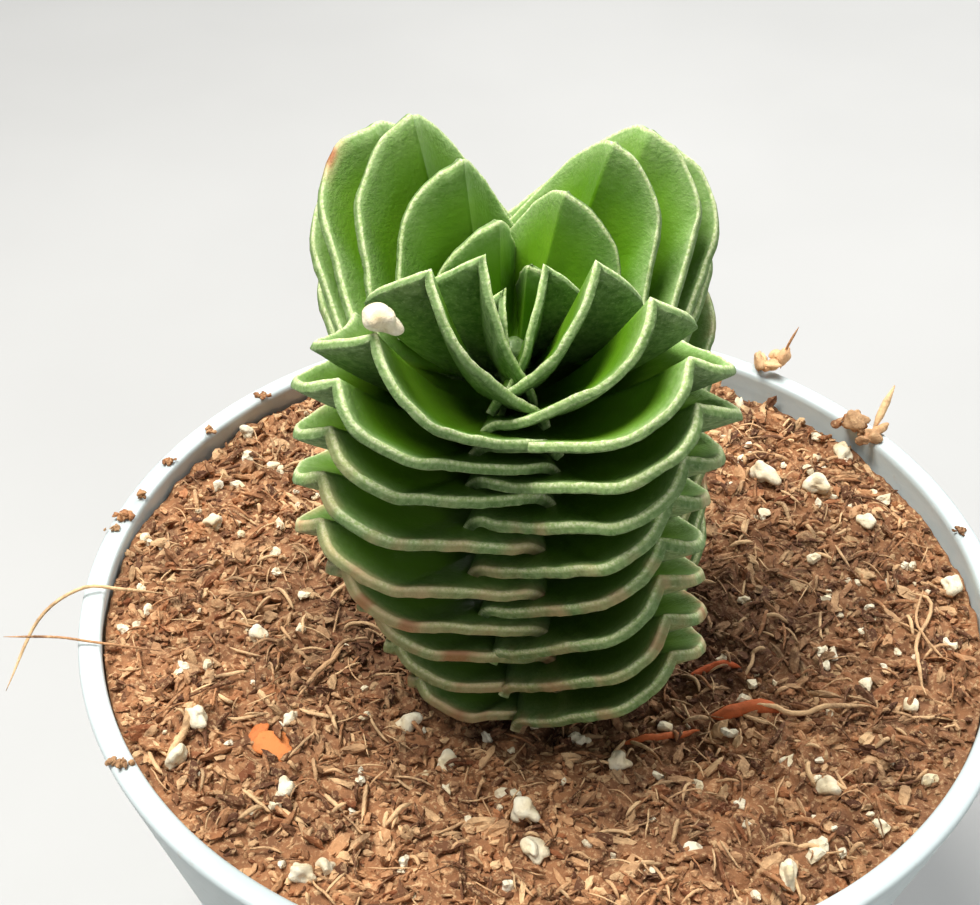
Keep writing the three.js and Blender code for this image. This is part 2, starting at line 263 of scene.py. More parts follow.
def leaf_axes(k, back):
    """Origin of a leaf on the stem and its own axes: out, aside and up."""
    rank = math.radians(leaf_azimuth(k, back))
    origin, ex, ey, up = pair_frame(along(WAIST, k))
    out = ex * math.cos(rank) + ey * math.sin(rank)
    return origin, out, np.cross(up, out), up


def leaf_size(k, back):
    shrink = along(WITHER, k) if in_near_left_rank(k, back) else 1
    return (1 + 0.04 * (draw(2 * k + back) - 0.5)) * shrink


def leaf_margin(k, back):
    """Margin of a leaf in its own axes (out, aside, up), and places for the noise along it."""
    n = 2 * k + back
    size = leaf_size(k, back)
    reach = along(REACH, k) * size
    half = along(HALF, k) * size
    drop = along(DROP, k) * (1 + 0.08 * (draw(n + 100) - 0.5)) * size
    e = np.array(EDGE)
    shoulder = SHOULDER * half
    outline = np.stack([shoulder + (reach - shoulder) * e[:, 0] + along(HUMP, k) * e[:, 3],
                        half * e[:, 1], drop * (1 - e[:, 2])], 1)
    right = smooth_curve(outline, ACROSS // 2 + 1)
    x, y, h = np.vstack([(right * (1, -1, 1))[:0:-1], right]).T
    run = np.concatenate([[0], np.cumsum(np.hypot(np.diff(x), np.diff(y)))])
    wave = np.stack([run, np.full(len(x), 7.3 * n), np.zeros(len(x))], 1)
    h = h + 0.32 * noise(wave, 5.0, 1) * min(1, reach / 15) + 0.10 * noise(wave, 1.6, 2)
    swell = 1 + (0.26 * noise(wave, 4.0, 3) + 0.08 * noise(wave, 1.3, 4)) / max(reach, 6)
    return x * swell, y * swell, h, wave


def leaf_weather(k, back, wave):
    """Weathering from 0 to 1 along the margin."""
    patches = np.clip(0.5 + 0.9 * noise(wave + 31.0, 3.6, 9) + 0.35 * noise(wave, 1.1, 10), 0, 1)
    weather = patches * along(WEATHER, k)
    if (k, back) == RUSTY_LEAF:
        share = wave[:, 0] / wave[-1, 0]
        weather = np.maximum(weather, np.exp(-((share - 0.60) / 0.05) ** 2))
    if in_near_left_rank(k, back) and k >= FIRST_WITHERED_PAIR:
        weather = np.maximum(weather, 0.55 + 0.4 * patches)
    return weather


def leaf_faces(k, back, x, y, h):
    """Upper face of a leaf from root to margin, its blunt edge, and its underside."""
    thick = along(THICK, k)
    root = along(ROOT, k)
    origin, out, side, up = leaf_axes(k, back)
    turn = np.arctan2(y, x) * 1.15
    # the last twentieth of the margin at either end sinks into the neighbouring leaves
    sink = np.clip(np.abs(np.linspace(-1, 1, len(x))) / 0.1 - 9, 0, 1) ** 2
    x = x * (1 - END_DRAW_IN * sink)
    y = y * (1 - END_DRAW_IN * sink)
    h = h - END_SINK * sink
    t = (np.linspace(0, 1, ROWS_TOP) ** 0.75)[:, None]
    px = root * np.cos(turn) * (1 - t) + x * t
    py = root * np.sin(turn) * (1 - t) + y * t
    ph = -along(CUP, k) * (1 - t ** 1.4) + h * t ** 1.4
    top = origin + px[..., None] * out + py[..., None] * side + ph[..., None] * up
    du = np.gradient(top, axis=1)
    dv = np.gradient(top, axis=0)
    normal = blend_columns(unit_rows(np.cross(dv, du)))
    under = top - normal * thick * (1 - 0.22 * t ** 3 + 0.25 * np.sin(math.pi * t))[..., None]
    outward = blend_columns(unit_rows(dv[-1]))
    e = np.linspace(0, 1, ROWS_EDGE + 2)[1:-1][:, None, None]
    band = top[-1] * (1 - e) + under[-1] * e + outward * thick * 0.07 * np.sin(math.pi * e ** 0.8)
    lower = under[::-1][np.linspace(0, ROWS_TOP - 1, ROWS_UNDER).astype(int)]
    return top, band, lower


def leaf(k, back):
    """Points, faces and shading values of one leaf.

    The values are: nearness to the margin, 1 above and 0 below, age, weathering of the margin.
    """
    x, y, h, wave = leaf_margin(k, back)
    top, band, lower = leaf_faces(k, back, x, y, h)
    sheet = np.concatenate([top, band, lower], 0)
    rows, cols = sheet.shape[:2]
    near_top = np.exp(-np.linalg.norm(top - top[-1], axis=-1) / BLOOM_ABOVE)
    near_lower = np.exp(-np.linalg.norm(lower - lower[0], axis=-1) / BLOOM_BELOW)
    near = np.concatenate([near_top, np.ones((ROWS_EDGE, cols)), near_lower], 0)
    above = np.concatenate([np.ones(ROWS_TOP), np.linspace(0.9, 0.1, ROWS_EDGE), np.zeros(ROWS_UNDER)])
    above = above[:, None] * np.ones(cols)
    age = np.full((rows, cols), k / (PAIRS - 1))
    weather = np.ones((rows, 1)) * leaf_weather(k, back, wave)
    info = np.stack([near, above, age, weather], -1)
    # rough bloom near the margin and below
    grainy = np.clip(near, 0.25 * (above < 0.5), 1)
    grainy[[0, -1]] = 0
    facing = unit_rows(np.cross(np.gradient(sheet, axis=0), np.gradient(sheet, axis=1)))
    flat = sheet.reshape(-1, 3)
    bump = BLOOM_HEIGHT * noise(flat, 0.55, 5) + BLOOM_HEIGHT * noise(flat, 1.1, 6)
    flat = flat + facing.reshape(-1, 3) * (bump * grainy.reshape(-1))[:, None]
    first_end = (np.arange(rows) * cols)[None, :]
    last_end = first_end[:, ::-1] + cols - 1
    return flat, [grid_faces(rows, cols)[:, ::-1], first_end, last_end], info.reshape(-1, 4)


def merge(name, parts):
    """One object from many (points, faces, shading values)."""
    verts, faces, info, start = [], [], [], 0
    for v, f, c in parts:
        verts.append(v)
        faces += [q + start for q in f]
        info.append(c)
        start += len(v)
    return make_object(name, np.vstack(verts), faces, np.vstack(info))


def build_leaves(name, pairs):
    return merge(name, [leaf(k, back) for k in pairs for back in (0, 1)])


def build_stem():
    heights = [-15.0, -6, -3, 0, 6, 12, 18, 24, 28, 32, 36, 38.5, 39.5]
    radii = [4.3, 4.3, 4.2, 4.3, 4.3, 4.3, 4.3, 4.3, 4.1, 3.6, 2.4, 1.4, 0.4]
    a = np.linspace(0, 2 * math.pi, STEM_SIDES, endpoint=False)
    rows = []
    for h, r in zip(heights, radii):
        c = stem_middle(max(h, 0.0))
        rows.append(np.stack([c[0] + r * np.cos(a), c[1] + r * np.sin(a), np.full(STEM_SIDES, h)], 1))
    v = np.vstack(rows)
    v[:, :2] += 0.15 * np.stack([noise(v, 1.5, 7), noise(v, 1.5, 8)], 1)
    ring = np.arange(STEM_SIDES)
    faces = [grid_faces(len(heights), STEM_SIDES, True), ring[None, ::-1],
             (ring + STEM_SIDES * (len(heights) - 1))[None, :]]
    info = np.tile([0.3, 0.0, 1.0, 0.8], (len(v), 1))
    return make_object("stem_core", v, faces, info)


# Soil: a rough bed, crumbs, chips, white grains and fibres lying on it.

def soil_level(x, y):
    r = np.hypot(x - PLANT_X, y - PLANT_Y)
    slope = -2.3 - 0.020 * (0.55 * x + 0.83 * y)
    hollow = -2.6 * np.exp(-((r / 19) ** 4))
    rough = (0.30 * np.sin(0.42 * x + 1.3) * np.sin(0.38 * y + 0.4) + 0.22 * np.sin(0.81 * x - 0.55 * y)
             + 0.16 * np.sin(1.23 * y + 0.9 * x + 2))
    edge = np.hypot(x, y) / 47
    return np.minimum(slope + hollow + rough - 0.5 * edge ** 6, -0.9)


def soil_surface(x, y):
    p = np.stack([x, y, np.zeros_like(x)], 1)
    clods = 0.45 * np.abs(noise(p, 2.6, 11))
    return soil_level(x, y) + clods + 0.32 * noise(p, 1.2, 12) + 0.18 * noise(p, 0.6, 13)


def height_at(x, y):
    return float(soil_surface(np.array([float(x)]), np.array([float(y)]))[0])


def painted_soil_shade(x, y):
    """Painted shade of the leaves on the soil: darker left and right of the stem and behind it, none in
    front.
    """
    dx = np.asarray(x) - PLANT_X
    dy = np.asarray(y) - PLANT_Y
    shade_pool = np.exp(-((dx / 33) ** 2 + ((dy - 5) / 18) ** 2))
    cloud = noise(np.stack([dx, dy, 0 * dx], -1).reshape(-1, 3), 9.0, 14).reshape(dx.shape)
    return np.clip(1.25 * shade_pool + 0.35 * cloud, 0, 1)


def inner_radius(z):
    """Inner radius of the pot at height z above its underside."""
    return FOOT_RADIUS + (RIM_RADIUS - FOOT_RADIUS) * z / POT_HEIGHT - WALL


def circle_points(cx, cy, r, angles, z):
    return np.stack([cx + r * np.cos(angles), cy + r * np.sin(angles), np.full(len(angles), z)], 1)


def build_soil():
    """Bed with a rough top, a plain hole for the stem and a flat bottom."""
    n = SOIL_SECTORS
    outer = inner_radius(POT_HEIGHT - 4) - 0.25
    a = np.linspace(0, 2 * math.pi, n, endpoint=False)
    r = outer * np.sqrt(np.linspace((HOLE_RADIUS / outer) ** 2, 1, SOIL_RINGS))
    rr, aa = (m.ravel() for m in np.meshgrid(r, a, indexing="ij"))
    # the inner ring is the stem's hole
    w = np.clip((rr - r[0]) / (outer * 0.35), 0, 1)
    x = rr * np.cos(aa) + PLANT_X * (1 - w)
    y = rr * np.sin(aa) + PLANT_Y * (1 - w)
    v = np.stack([x, y, soil_surface(x, y)], 1)
    bottom = FLOOR + 0.3
    hole = circle_points(PLANT_X, PLANT_Y, r[0], a, -HOLE_DEPTH)
    base = circle_points(0, 0, inner_radius(bottom) - 1.7, a, bottom - POT_HEIGHT)
    middles = [[PLANT_X, PLANT_Y, -HOLE_DEPTH], [0, 0, bottom - POT_HEIGHT]]
    verts = np.vstack([v, hole, base, middles])
    j = np.arange(n)
    k = (j + 1) % n
    rim = len(v) - n
    low = len(v)
    foot = low + n
    hub = np.full(n, foot + n)
    faces = [grid_faces(SOIL_RINGS, n, True)[:, ::-1],
             np.stack([low + k, k, j, low + j], 1),
             np.stack([hub, low + j, low + k], 1),
             np.stack([rim + j, foot + j, foot + k, rim + k], 1),
             np.stack([hub + 1, foot + k, foot + j], 1)]
    tone = np.full(len(verts), 0.35)
    # third value: painted shade of the leaves, darker around the stem
    info = np.stack([tone, tone, painted_soil_shade(verts[:, 0], verts[:, 1]), tone], 1)
    return make_object("soil_bed", verts, faces, info)


def ico(level):
    """Vertices and faces of a unit icosphere."""
    p = (1 + 5 ** 0.5) / 2
    v = [(-1, p, 0), (1, p, 0), (-1, -p, 0), (1, -p, 0), (0, -1, p), (0, 1, p), (0, -1, -p), (0, 1, -p),
         (p, 0, -1), (p, 0, 1), (-p, 0, -1), (-p, 0, 1)]
    f = [(0, 11, 5), (0, 5, 1), (0, 1, 7), (0, 7, 10), (0, 10, 11), (1, 5, 9), (5, 11, 4), (11, 10, 2),
         (10, 7, 6), (7, 1, 8), (3, 9, 4), (3, 4, 2), (3, 2, 6), (3, 6, 8), (3, 8, 9), (4, 9, 5), (2, 4, 11),
         (6, 2, 10), (8, 6, 7), (9, 8, 1)]
    v = [np.array(q) / np.linalg.norm(q) for q in v]
    for _ in range(level):
        mids, new = {}, []

        def mid(a, b):
            key = (min(a, b), max(a, b))
            if key not in mids:
                m = v[a] + v[b]
                v.append(m / np.linalg.norm(m))
                mids[key] = len(v) - 1
            return mids[key]
        for a, b, c in f:
            ab, bc, ca = mid(a, b), mid(b, c), mid(c, a)
            new += [(a, ab, ca), (b, bc, ab), (c, ca, bc), (ab, bc, ca)]
        f = new
    return np.array(v), np.array(f)


def turns(yaw, pitch, roll):
    """Rotation matrices for arrays of angles."""
    cy, sy, cp, sp, cr, sr = (g(a) for a in (yaw, pitch, roll) for g in (np.cos, np.sin))
    return np.stack([np.stack([cy * cp, cy * sp * sr - sy * cr, cy * sp * cr + sy * sr], -1),
                     np.stack([sy * cp, sy * sp * sr + cy * cr, sy * sp * cr - cy * sr], -1),
                     np.stack([-sp, cp * sr, cp * cr], -1)], -2)


def scatter(rng, count, reach=SOIL_REACH):
    """Random places on the soil, clear of the stem."""
    a = rng.random(4 * count) * 2 * math.pi
    r = reach * np.sqrt(rng.random(4 * count))
    x, y = r * np.cos(a), r * np.sin(a)
    clear = np.hypot(x - PLANT_X, y - PLANT_Y) > STEM_CLEARANCE
    return x[clear][:count], y[clear][:count]


def lumps(name, rng, places, sizes, tones, level, rough, shape, lift, tilt=0.45):
    """One piece made of many small irregular lumps.

    places is (x, y) or (x, y, z), shape the range of the two shorter sides against the long one,
    lift the middle's height over the soil as a share of the size.
    """
    unit, tri = ico(level)
    x, y = places[0], places[1]
    n, m = len(x), len(unit)
    z = places[2] if len(places) > 2 else soil_surface(x, y) + lift * sizes
    shift = rng.random((n, 1, 3)) * 40
    field = noise((unit[None] + shift).reshape(-1, 3), 0.8, 21).reshape(n, m, 1)
    stretch = np.stack([np.ones(n), rng.uniform(*shape, n), rng.uniform(*shape, n) * 0.9], 1)
    body = unit[None] * (1 + rough * field) * stretch[:, None] * sizes[:, None, None] * 0.5
    rot = turns(rng.random(n) * 2 * math.pi, rng.normal(0, tilt, n), rng.normal(0, tilt, n))
    verts = np.einsum("nij,nmj->nmi", rot, body) + np.stack([x, y, z], 1)[:, None]
    faces = (tri[None] + (np.arange(n) * m)[:, None, None]).reshape(-1, 3)
    # third value: painted shade of the leaves on the soil around the stem
    values = np.stack([tones, rng.random(n), painted_soil_shade(x, y), rng.random(n)], 1)
    return make_object(name, verts.reshape(-1, 3), [faces], np.repeat(values, m, 0), level > 1)


def strewn(name, rng, count, reach, span, level, rough, shape, lift, tilt=0.45, tone=None):
    """Lumps at random places, sizes from the given span, tones at random unless one is given."""
    places = scatter(rng, count, reach)
    sizes = rng.uniform(*span, count)
    tones = rng.random(count) if tone is None else np.full(count, tone)
    return lumps(name, rng, places, sizes, tones, level, rough, shape, lift, tilt)


def tube(points, radius, tone, sides=5):
    """Points, faces and shading values of a thin bent fibre with pointed ends."""
    p = np.asarray(points, float)
    n = len(p)
    tan = unit_rows(np.gradient(p, axis=0))
    ref = np.array([0.0, 0, 1]) if abs(tan[0, 2]) < 0.9 else np.array([1.0, 0, 0])
    u = unit_rows(np.cross(tan, ref))
    w = np.cross(tan, u)
    a = np.linspace(0, 2 * math.pi, sides, endpoint=False)
    taper = radius * np.clip(np.sin(np.linspace(0.12, math.pi - 0.12, n)) * 1.6, 0.15, 1)
    ring = (p[:, None] + taper[:, None, None]
            * (u[:, None] * np.cos(a)[None, :, None] + w[:, None] * np.sin(a)[None, :, None]))
    end = np.arange(sides)[None, :]
    faces = [grid_faces(n, sides, True), end[:, ::-1], end + sides * (n - 1)]
    v = ring.reshape(-1, 3)
    # third value: painted shade of the leaves, weaker on the fibres
    info = np.stack([np.full(len(v), tone), np.full(len(v), 0.5), 0.6 * painted_soil_shade(v[:, 0], v[:, 1]),
                     np.full(len(v), 0.5)], 1)
    return v, faces, info


def fibre_path(rng, x, y, length, lift):
    """A short wandering path over the soil."""
    steps = 8
    heading = rng.random() * 2 * math.pi + np.cumsum(rng.normal(0, 0.12, steps) + rng.normal() * 0.07)
    xs = x + np.cumsum(np.cos(heading)) * length / steps
    ys = y + np.cumsum(np.sin(heading)) * length / steps
    arch = lift * np.sin(math.pi * np.arange(steps) / (steps - 1))
    return np.stack([xs, ys, soil_level(xs, ys) + 0.75 + arch], 1)


def build_fibres(rng, count):
    parts = []
    for x, y in zip(*scatter(rng, count)):
        path = fibre_path(rng, x, y, rng.uniform(1.2, 5.0), rng.uniform(0, 0.8))
        inside = np.hypot(path[:, 0], path[:, 1]).max() < SOIL_REACH
        clear = np.hypot(path[:, 0] - PLANT_X, path[:, 1] - PLANT_Y).min() > 8
        if inside and clear:
            radius = 0.07 + 0.2 * rng.random() ** 2
            parts.append(tube(path, radius, rng.choice([0.1, 0.45, 0.8, 1.0])))
    return merge("soil_fibres", parts)


def laid(points, samples=16, clearance=0.9):
    """Smooth path over the soil through (x, y) points."""
    flat = smooth_curve([(x, y, 0) for x, y in points], samples)
    flat[:, 2] = soil_surface(flat[:, 0], flat[:, 1]) + clearance
    return flat


def build_debris():
    """The single bits that stand out in the photo: twig, straws, curled and hanging fibres."""
    return merge("long_fibres", [
        tube(laid([(-36.2, -26.7), (-35.0, -23), (-34.6, -19.1)]), 0.42, 0.9, 8),
        tube(laid([(21.4, -16.1), (27, -16.4), (33.6, -15.2)], 16, 1.2), 0.28, 0.95, 6),
        tube(laid([(39.8, 2.8), (42.1, -0.2), (39.5, -6.4), (39.4, -13.5)], 20, 1.3), 0.22, 0.9, 6),
        tube(laid([(41.5, 2.0), (40.0, -3.5), (42.5, -8.5)], 16, 1.6), 0.16, 0.8, 6),
        tube(laid([(-24.4, -16.9), (-22.5, -13.2), (-20.6, -10.4)], 16, 1.1), 0.3, 0.75, 6),
        tube(smooth_curve([(-41, -2.6, -1.6), (-45.5, -4.0, 0.2), (-49.4, -5.0, 1.1), (-53.4, -8.4, -0.4),
                           (-55.8, -15.0, -4.5)], 24), 0.2, 1.0, 6),
        tube(smooth_curve([(-39.5, -11.6, -1.2), (-46.5, -12.3, 0.5), (-50.5, -12.0, 0.7),
                           (-56.5, -11.0, -0.6)], 20), 0.14, 0.6, 6),
        tube([(39.4, 28.4, 0.2), (40.2, 29.6, 1.6), (41.0, 30.8, 3.0), (41.9, 32.0, 4.6)], 0.5, 1.0, 8),
        tube(smooth_curve([(29.2, 39.8, 1.0), (29.6, 40.4, 3.2), (30.0, 40.2, 5.0), (30.9, 40.8, 6.8)], 14),
             0.17, 0.55, 6),
    ])


def build_bark():
    """The orange bark flake at the left and the reddish slivers at the right."""
    red = [tube(laid([(8.2, -19.8), (12.5, -19.4), (16.2, -18.1)], 14, 0.7), 0.34, 0.35, 8),
           tube(laid([(17.4, -16.6), (20.8, -16.0), (24.6, -15.8)], 14, 0.6), 0.75, 0.3, 8),
           tube(laid([(15.5, -10.2), (18.5, -9.0), (21.0, -9.4)], 14, 0.5), 0.4, 0.2, 8)]
    unit, tri = ico(2)
    for x, y, size, tone in ((-25.9, -23.6, 4.4, 0.8), (-27.8, -22.2, 2.6, 0.6), (-13.5, 33, 2.4, 0.5)):
        body = unit * (1 + 0.35 * noise(unit + x, 0.7, 25)[:, None]) * (0.5 * size, 0.36 * size, 0.4)
        body = body @ turns(np.array(0.5 + x), np.array(0.12), np.array(0.2)).T
        info = np.tile([tone, 0.5, 0.1, 0.5], (len(unit), 1))
        red.append((body + (x, y, height_at(x, y) + 0.7), [tri], info))
    return merge("bark_bits", red)


def build_rim_litter(rng):
    """Coir clumps that lie on the rim at the far right and at the left."""
    # (x, y, z, size, tone)
    clumps = [(27.8, 39.3, 1.5, 4.6, 0.95), (38.2, 28.2, 1.0, 4.0, 0.75), (36.6, 29.6, 0.6, 2.6, 0.5),
              (-47.9, 8.0, 0.4, 2.0, 0.45), (-46.8, 11.6, 0.4, 1.4, 0.6), (-48.6, 5.6, 0.3, 1.1, 0.8),
              (-40.0, -27.9, 0.3, 1.6, 0.7), (-44.9, 18.0, 0.3, 1.2, 0.4), (46.8, 10.5, 0.2, 1.3, 0.6),
              (-36.0, 31.5, 0.3, 1.5, 0.5), (-41.2, 24.0, 0.3, 1.2, 0.7)]
    bits = []
    for x, y, z, size, tone in clumps:
        for _ in range(9):
            off = rng.normal(0, 0.23, 3) * size
            height = max(z + 0.5 * off[2], 0.25)
            bits.append((x + off[0], y + off[1], height, size * rng.uniform(0.35, 0.7), tone))
    x, y, z, size, tone = np.array(bits).T
    return lumps("rim_litter", rng, (x, y, z), size, tone, 2, 0.6, (0.4, 0.9), 0)


def build_plant_grain(rng):
    """The white grain caught behind the tip of a near left leaf."""
    k, back = GRAIN_LEAF
    origin, out, _, up = leaf_axes(k, back)
    tip = origin + out * along(REACH, k) + up * along(DROP, k)
    spot = tip - out * 0.6 + up * 0.7
    x, y, z = (np.array([c]) for c in spot)
    size, tone = np.array([3.1]), np.array([1.0])
    return lumps("caught_grain", rng, (x, y, z), size, tone, 3, 0.5, (0.75, 0.95), 0)


# Pot: a thin tapered shell with a flat rim and a floor pierced by drain holes.

def pot_profile():
    h = POT_HEIGHT
    foot = FOOT_RADIUS
    profile = [(foot - 2.4, -h), (foot - 0.9, -h), (foot - 0.25, 0.15 - h), (foot + 0.15, 0.6 - h)]
    profile += [(inner_radius(z) + WALL, z - h) for z in np.linspace(1.2, h - 1.2, 24)]
    profile += [(49.74, -0.9), (49.80, -0.55), (49.72, -0.25), (49.50, -0.07), (49.2, 0.0)]
    profile += [(48.4, 0.03), (47.9, 0.0), (47.6, -0.10), (47.42, -0.35)]
    profile += [(47.36, -0.9), (inner_radius(h - RIM_DEPTH) + 0.05, -RIM_DEPTH)]
    profile += [(inner_radius(z), z - h) for z in np.linspace(h - 8, FLOOR + 1, 8)]
    return profile + [(inner_radius(FLOOR) - 1, FLOOR - h), (foot - 3.4, FLOOR - h)]


def pierced_disc():
    """Triangles of the floor between its edge and the drain holes, and the holes' rings."""
    pts, rings, centres = [], [], []

    def circle(cx, cy, r, n):
        rings.append((len(pts), n))
        for i in range(n):
            t = 2 * math.pi * i / n
            pts.append(Vector((cx + r * math.cos(t), cy + r * math.sin(t))))
    circle(0, 0, FOOT_RADIUS - 2.4, POT_SEGMENTS)
    for i in range(DRAIN_COUNT):
        t = 2 * math.pi * (i + 0.5) / DRAIN_COUNT
        centres.append((DRAIN_CIRCLE * math.cos(t), DRAIN_CIRCLE * math.sin(t)))
        circle(*centres[-1], DRAIN_RADIUS, 32)
    edges = [(f + i, f + (i + 1) % n) for f, n in rings for i in range(n)]
    out_v, _, out_f, _, _, _ = geometry.delaunay_2d_cdt(pts, edges, [], 0, 1e-6)
    keep = []
    for f in out_f:
        c = sum((out_v[i] for i in f), Vector((0, 0))) / len(f)
        if all(math.hypot(c.x - cx, c.y - cy) > DRAIN_RADIUS * 0.98 for cx, cy in centres):
            keep.append(list(f))
    return np.array([[q.x, q.y] for q in out_v]), np.array(keep), rings[1:]


def build_pot():
    a = np.linspace(0, 2 * math.pi, POT_SEGMENTS, endpoint=False)
    p = np.array(pot_profile())
    v = np.stack([p[:, :1] * np.cos(a), p[:, :1] * np.sin(a), p[:, 1:] * np.ones(POT_SEGMENTS)], -1)
    v = v.reshape(-1, 3)
    flat, tri, holes = pierced_disc()
    low = np.column_stack([flat, np.full(len(flat), -POT_HEIGHT)])
    high = np.column_stack([flat, np.full(len(flat), FLOOR - POT_HEIGHT)])
    start, up = len(v), len(flat)
    faces = [grid_faces(len(p), POT_SEGMENTS, True), tri[:, ::-1] + start, tri + start + up]
    for first, n in holes:
        i = start + first + np.arange(n)
        k = start + first + (np.arange(n) + 1) % n
        faces.append(np.stack([i, k, up + k, up + i], 1))
    return make_object("pot_shell", np.vstack([v, low, high]), faces)


# Materials: node shaders with procedural detail, colours given as 8-bit values.

def srgb(r, g, b):
    def lin(c):
        c /= 255.0
        return c / 12.92 if c <= 0.04045 else ((c + 0.055) / 1.055) ** 2.4
    return (lin(r), lin(g), lin(b), 1.0)


class Shader:
    """Small helper that builds a node material step by step."""

    def __init__(self, name):
        self.mat = bpy.data.materials.new(name)
        self.mat.use_nodes = True
        self.tree = self.mat.node_tree
        self.bsdf = self.tree.nodes["Principled BSDF"]
        self.coords = self.tree.nodes.new("ShaderNodeTexCoord").outputs["Object"]

    def put(self, socket, value):
        if isinstance(value, bpy.types.NodeSocket):
            self.tree.links.new(value, socket)
        else:
            socket.default_value = value

    def surface(self, **values):
        for key, value in values.items():
            self.put(self.bsdf.inputs[key.replace("_", " ")], value)

    def noise(self, scale, detail, rough=0.5):
        n = self.tree.nodes.new("ShaderNodeTexNoise")
        n.inputs["Scale"].default_value = scale
        n.inputs["Detail"].default_value = detail
        n.inputs["Roughness"].default_value = rough
        self.put(n.inputs["Vector"], self.coords)
        return n.outputs["Fac"]

    def math(self, op, a, b):
        n = self.tree.nodes.new("ShaderNodeMath")
        n.operation = op
        self.put(n.inputs[0], a)
        self.put(n.inputs[1], b)
        return n.outputs[0]

    def both(self, a, b):
        return self.math("MULTIPLY", a, b)

    def ramp(self, value, low, high, to_low=0.0, to_high=1.0):
        n = self.tree.nodes.new("ShaderNodeMapRange")
        n.inputs["From Min"].default_value = low
        n.inputs["From Max"].default_value = high
        n.inputs["To Min"].default_value = to_low
        n.inputs["To Max"].default_value = to_high
        self.put(n.inputs["Value"], value)
        return n.outputs["Result"]

    def mix(self, factor, a, b):
        n = self.tree.nodes.new("ShaderNodeMix")
        n.data_type = "RGBA"
        self.put(n.inputs["Factor"], factor)
        low, high = [s for s in n.inputs if s.type == "RGBA"]
        self.put(low, a)
        self.put(high, b)
        return [s for s in n.outputs if s.type == "RGBA"][0]

    def channels(self):
        a = self.tree.nodes.new("ShaderNodeAttribute")
        a.attribute_name = "info"
        s = self.tree.nodes.new("ShaderNodeSeparateColor")
        self.tree.links.new(a.outputs["Color"], s.inputs[0])
        return s.outputs[0], s.outputs[1], s.outputs[2], a.outputs["Alpha"]

    def bump(self, height, strength, distance):
        n = self.tree.nodes.new("ShaderNodeBump")
        n.inputs["Strength"].default_value = strength
        n.inputs["Distance"].default_value = distance
        self.put(n.inputs["Height"], height)
        self.put(self.bsdf.inputs["Normal"], n.outputs["Normal"])


def leaf_material():
    s = Shader("leaf")
    near, above, age, weather = s.channels()
    blotch = s.noise(260, 4, 0.6)
    fine = s.noise(1500, 3, 0.6)
    speck = s.noise(3200, 3, 0.6)
    deep = s.mix(s.ramp(s.noise(90, 3), 0.35, 0.65), srgb(84, 132, 14), srgb(110, 156, 34))
    deep = s.mix(s.ramp(age, 0.3, 0.8), deep, srgb(80, 114, 34))
    bloom = s.mix(s.ramp(fine, 0.3, 0.7), srgb(116, 150, 80), srgb(156, 180, 120))
    frost = s.both(s.ramp(near, 0.10, 0.85), s.ramp(blotch, 0.25, 0.6, 0.55, 0.9))
    top = s.mix(frost, deep, bloom)
    below = s.mix(s.ramp(fine, 0.35, 0.65), srgb(84, 112, 56), srgb(124, 148, 92))
    below = s.mix(s.ramp(speck, 0.55, 0.7, 0.0, 0.6), below, srgb(158, 172, 128))
    base = s.mix(above, below, top)
    tan = s.both(s.ramp(weather, 0.35, 0.8), s.ramp(near, 0.45, 0.95))
    base = s.mix(s.both(tan, s.ramp(blotch, 0.3, 0.6, 0.2, 0.75)), base, srgb(182, 150, 108))
    line = s.both(s.ramp(near, 0.86, 0.97), s.ramp(above, 0.5, 0.85))
    pale = s.mix(s.ramp(speck, 0.4, 0.62), srgb(178, 200, 128), srgb(232, 238, 190))
    pale = s.mix(s.ramp(weather, 0.45, 0.95), pale, srgb(222, 190, 144))
    base = s.mix(s.both(line, 0.9), base, pale)
    rust = s.both(s.ramp(weather, 0.86, 0.98), s.ramp(near, 0.7, 0.95))
    base = s.mix(s.both(rust, 0.8), base, srgb(160, 84, 44))
    s.surface(Base_Color=base, Roughness=s.ramp(near, 0.05, 0.6, 0.36, 0.75), Subsurface_Weight=0.10,
              Subsurface_Radius=(0.0012, 0.0020, 0.0006), Subsurface_Scale=1.0, Specular_IOR_Level=0.5)
    rough = s.both(speck, s.ramp(near, 0.05, 0.6, 0.2, 1.0))
    s.bump(s.math("ADD", rough, s.both(fine, 0.5)), 0.55, 0.00022)
    return s.mat


def coir_material():
    """Coir in shades between dark and light by the piece's own tone, darkened by painted shade of the leaves
    around the stem.
    """
    s = Shader("coir")
    dark, middle, light = srgb(86, 54, 38), srgb(184, 130, 88), srgb(240, 200, 150)
    tone, pick, shade_channel, _ = s.channels()
    fine = s.noise(1900, 4, 0.65)
    patch = s.noise(330, 4, 0.6)
    base = s.mix(s.ramp(tone, 0.0, 0.5), dark, middle)
    base = s.mix(s.ramp(tone, 0.5, 1.0), base, light)
    base = s.mix(s.ramp(patch, 0.42, 0.68, 0.0, 0.7), base, dark)
    base = s.mix(s.ramp(fine, 0.52, 0.72, 0.0, 0.75), base, light)
    base = s.mix(s.both(s.ramp(pick, 0.75, 1.0), 0.3), base, srgb(196, 112, 64))
    # painted shade of the leaves: coir darkened around the stem
    base = s.mix(s.both(shade_channel, 0.66), base, srgb(52, 32, 22))
    s.surface(Base_Color=base, Roughness=0.88, Specular_IOR_Level=0.25)
    s.bump(fine, 0.8, 0.0004)
    return s.mat


def grain_material():
    s = Shader("white_grains")
    fine = s.noise(1300, 5, 0.65)
    base = s.mix(s.ramp(s.noise(420, 3), 0.35, 0.7), srgb(240, 232, 206), srgb(220, 200, 158))
    base = s.mix(s.ramp(fine, 0.56, 0.8, 0.0, 0.6), base, srgb(156, 120, 82))
    s.surface(Base_Color=base, Roughness=0.8)
    s.bump(fine, 0.6, 0.0005)
    return s.mat


